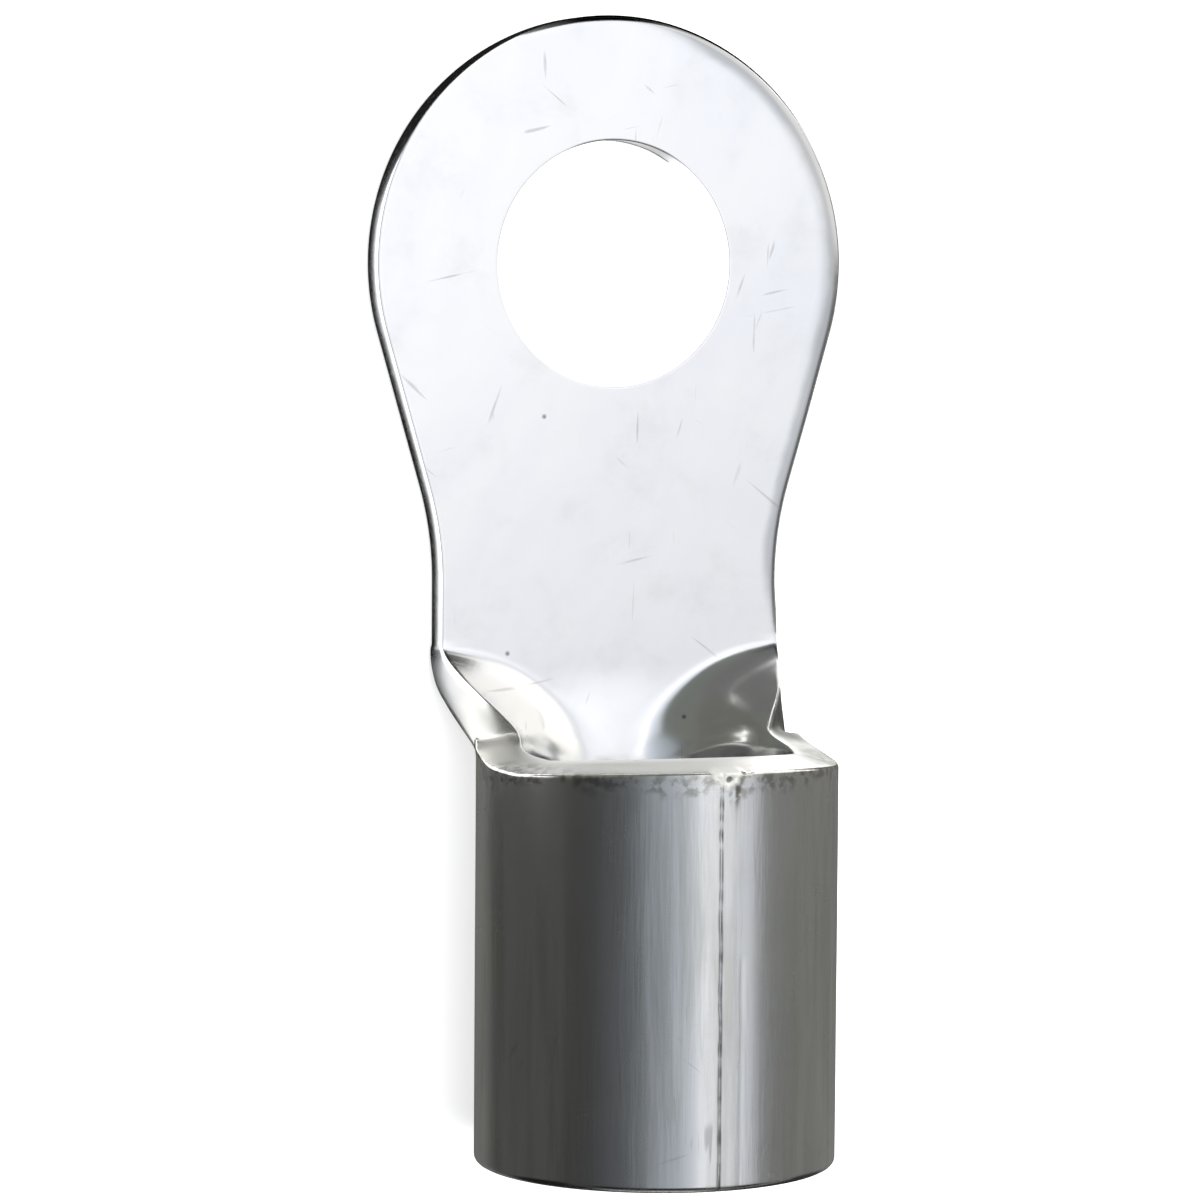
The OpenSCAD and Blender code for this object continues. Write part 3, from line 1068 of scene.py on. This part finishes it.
def build_tent(radius):
    """Half cylinder of fabric over the terminal, lit from within."""
    steps, half = 48, 420
    pairs = []
    for i in range(steps + 1):
        a = -math.pi / 2 + math.pi * i / steps
        x, z = radius / MM * math.sin(a), radius / MM * math.cos(a)
        pairs.append(((x, -half, z), (x, half, z)))
    tent = strip("light_tent", pairs)
    tent.location = (0, -14 * MM, 4 * MM)
    tent.data.materials.append(tent_material())
    tent.visible_camera = False
    tent.visible_shadow = False


def build_under_card(sheet):
    """Black card under the tongue, which the stamped edges mirror as a thin dark band.

    It stops just past the outline, except at the tip and beside the scoop's left flank.
    """
    outline = ring_outline(sheet, sheet.rim, ring=60, flank=8, blend=8, neck=20)
    outline = [((-p[0], p[1]), (-n[0], n[1])) for p, n in outline[:0:-1]] + outline
    pairs = []
    for p, n in outline:
        left = p[0] < 0
        a = math.atan2(p[1], p[0])
        wide = (0.45 if left else 0.05) + 30 * max(0.0, math.sin(a)) ** 5
        if left:
            wide += 1.2 * max(0.0, sheet.scoop - p[1])
        outer = (p[0] - n[0] * wide, p[1] - n[1] * wide, BASE)
        hole = sheet.hole_r + (0.5 if abs(math.cos(a)) > 0.6 else -0.08)
        inner = (hole * math.cos(a), hole * math.sin(a), BASE)
        pairs.append((outer, inner if p[1] >= -9 else (0, p[1], BASE)))
    card("under_card", pairs, card_material("black_card", 0.012))


def build_side_cards(sheet):
    """Grey curved card under and beside the barrel."""
    half = ((0, -0.008), (4, -0.008), (8, -0.008), (11, 0), (14, 0.02), (20, 0.05), (26, 0.4),
            (30, 2), (33, 6), (35, 12), (36, 18))       # across, height above the underside
    run = [(-x, z) for x, z in half[:0:-1]] + list(half)
    pairs = [((x, -150, BASE + z), (x, sheet.scoop - (4.3 if x < 0 else 2.2), BASE + z))
             for x, z in run]
    card("side_cards", pairs,
         card_material("grey_card", 0.16, left=0.4375, right=1.125, mouth=0.15))


def build_plain_cards():
    """Cards that the scoop's flanks, the ring's edges and the tip mirror."""
    z = BASE + GAP
    card("left_wall", [((-19, -8, z), (-19, 120, z)), ((-45, -8, z), (-45, 120, z)),
                       ((-75, -8, 60), (-75, 120, 60))], card_material("wall_card", 0.15))
    card("right_plate", [((15, -20, z), (70, -20, z)), ((15, 12, z), (70, 12, z))],
         card_material("plate_card", 0.15))
    card("fore_card", [((-60, 45, z), (14, 45, z)), ((-150, 300, z), (30, 300, z))],
         card_material("fore_grey", 0.14))
    card("tip_flag", [((90, 300, 0), (200, 300, 0)), ((90, 300, 260), (200, 300, 260))],
         card_material("flag_card", 0.01))


def build_lights(scene):
    """One wide lamp overhead and a dim even world."""
    lamp = bpy.data.lights.new("overhead", "AREA")
    lamp.shape = "DISK"
    lamp.size = 0.5
    lamp.energy = 3.5
    overhead = bpy.data.objects.new("overhead", lamp)
    overhead.location = (0.02, 0.02, 0.6)
    overhead.rotation_euler = Vector((0.12, 0.05, 0.6)).to_track_quat("Z", "Y").to_euler()
    overhead.visible_glossy = False
    scene.collection.objects.link(overhead)

    world = bpy.data.worlds.new("studio")
    scene.world = world
    world.use_nodes = True
    background = world.node_tree.nodes["Background"]
    background.inputs[0].default_value = (1, 1, 1, 1)
    background.inputs[1].default_value = 0.16


AIM = (0, -15, 5)               # near the middle of the terminal
SHIFT = (-1.56, 0.15)           # the camera points this far to the right of it and above


def build_camera(scene, st):
    """The camera, swung and rolled about its aim."""
    data = bpy.data.cameras.new("camera")
    data.sensor_width = 36.0
    data.lens = st.lens
    data.clip_start = 0.01
    data.clip_end = 10.0
    cam = bpy.data.objects.new("camera", data)
    flat = math.cos(st.pitch)
    back = Vector((-math.sin(st.yaw) * flat, math.sin(st.pitch), math.cos(st.yaw) * flat))
    level = Vector((math.cos(st.yaw), 0, math.sin(st.yaw)))
    upright = back.cross(level)
    c, s = math.cos(st.roll), math.sin(st.roll)
    right, up = level * c + upright * s, upright * c - level * s
    cam.matrix_world = Matrix((right, up, back)).transposed().to_4x4()
    cam.location = (Vector(AIM) + right * SHIFT[0] + up * SHIFT[1]) * MM + back * st.distance
    scene.collection.objects.link(cam)
    scene.camera = cam


# ---------------------------------------------------------------- operators
class TERMINAL_OT_body(bpy.types.Operator):
    """Build the stamped, rolled and brazed body"""
    bl_idname = "terminal.body"
    bl_label = "Terminal body"

    def execute(self, context):
        sheet = Sheet(context.scene.terminal_sizes)
        grid = build_sheet_mesh(sheet)
        body = make_object("terminal_body", grid.verts, grid.faces,
                           marks=(("cut", grid.cut), ("band", grid.band),
                                  ("line", grid.line)))
        body.data.materials.append(tin_material(context.scene.terminal_finish, sheet))
        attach(body, "root")
        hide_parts("ring_terminal")
        return {"FINISHED"}


class TERMINAL_OT_stage(bpy.types.Operator):
    """Build the floor, the light tent, the cards, the lamp and the camera"""
    bl_idname = "terminal.stage"
    bl_label = "Studio stage"

    def execute(self, context):
        scene = context.scene
        sheet = Sheet(scene.terminal_sizes)
        build_floor(scene.terminal_finish)
        build_tent(scene.terminal_stage.tent_r)
        build_under_card(sheet)
        build_side_cards(sheet)
        build_plain_cards()
        build_lights(scene)
        build_camera(scene, scene.terminal_stage)
        scene.view_settings.view_transform = "Standard"
        return {"FINISHED"}


class TERMINAL_PT_panel(bpy.types.Panel):
    """Sizes, finish and stage, and the two operators that use them"""
    bl_idname = "TERMINAL_PT_panel"
    bl_label = "Ring Terminal"
    bl_space_type = "VIEW_3D"
    bl_region_type = "UI"
    bl_category = "Ring Terminal"

    def draw(self, context):
        for group in (context.scene.terminal_sizes, context.scene.terminal_finish,
                      context.scene.terminal_stage):
            box = self.layout.box()
            for key in group.__annotations__:
                box.prop(group, key)
        self.layout.operator("terminal.body")
        self.layout.operator("terminal.stage")


CLASSES = (TerminalSizes, TerminalFinish, StageSizes, TERMINAL_OT_body, TERMINAL_OT_stage,
           TERMINAL_PT_panel)


def register():
    for cls in CLASSES:
        bpy.utils.register_class(cls)
    bpy.types.Scene.terminal_sizes = PointerProperty(type=TerminalSizes)
    bpy.types.Scene.terminal_finish = PointerProperty(type=TerminalFinish)
    bpy.types.Scene.terminal_stage = PointerProperty(type=StageSizes)


def unregister():
    del bpy.types.Scene.terminal_stage
    del bpy.types.Scene.terminal_finish
    del bpy.types.Scene.terminal_sizes
    for cls in reversed(CLASSES):
        bpy.utils.unregister_class(cls)


def main():
    register()
    bpy.ops.terminal.body()
    bpy.ops.terminal.stage()


if __name__ == "__main__":
    main()
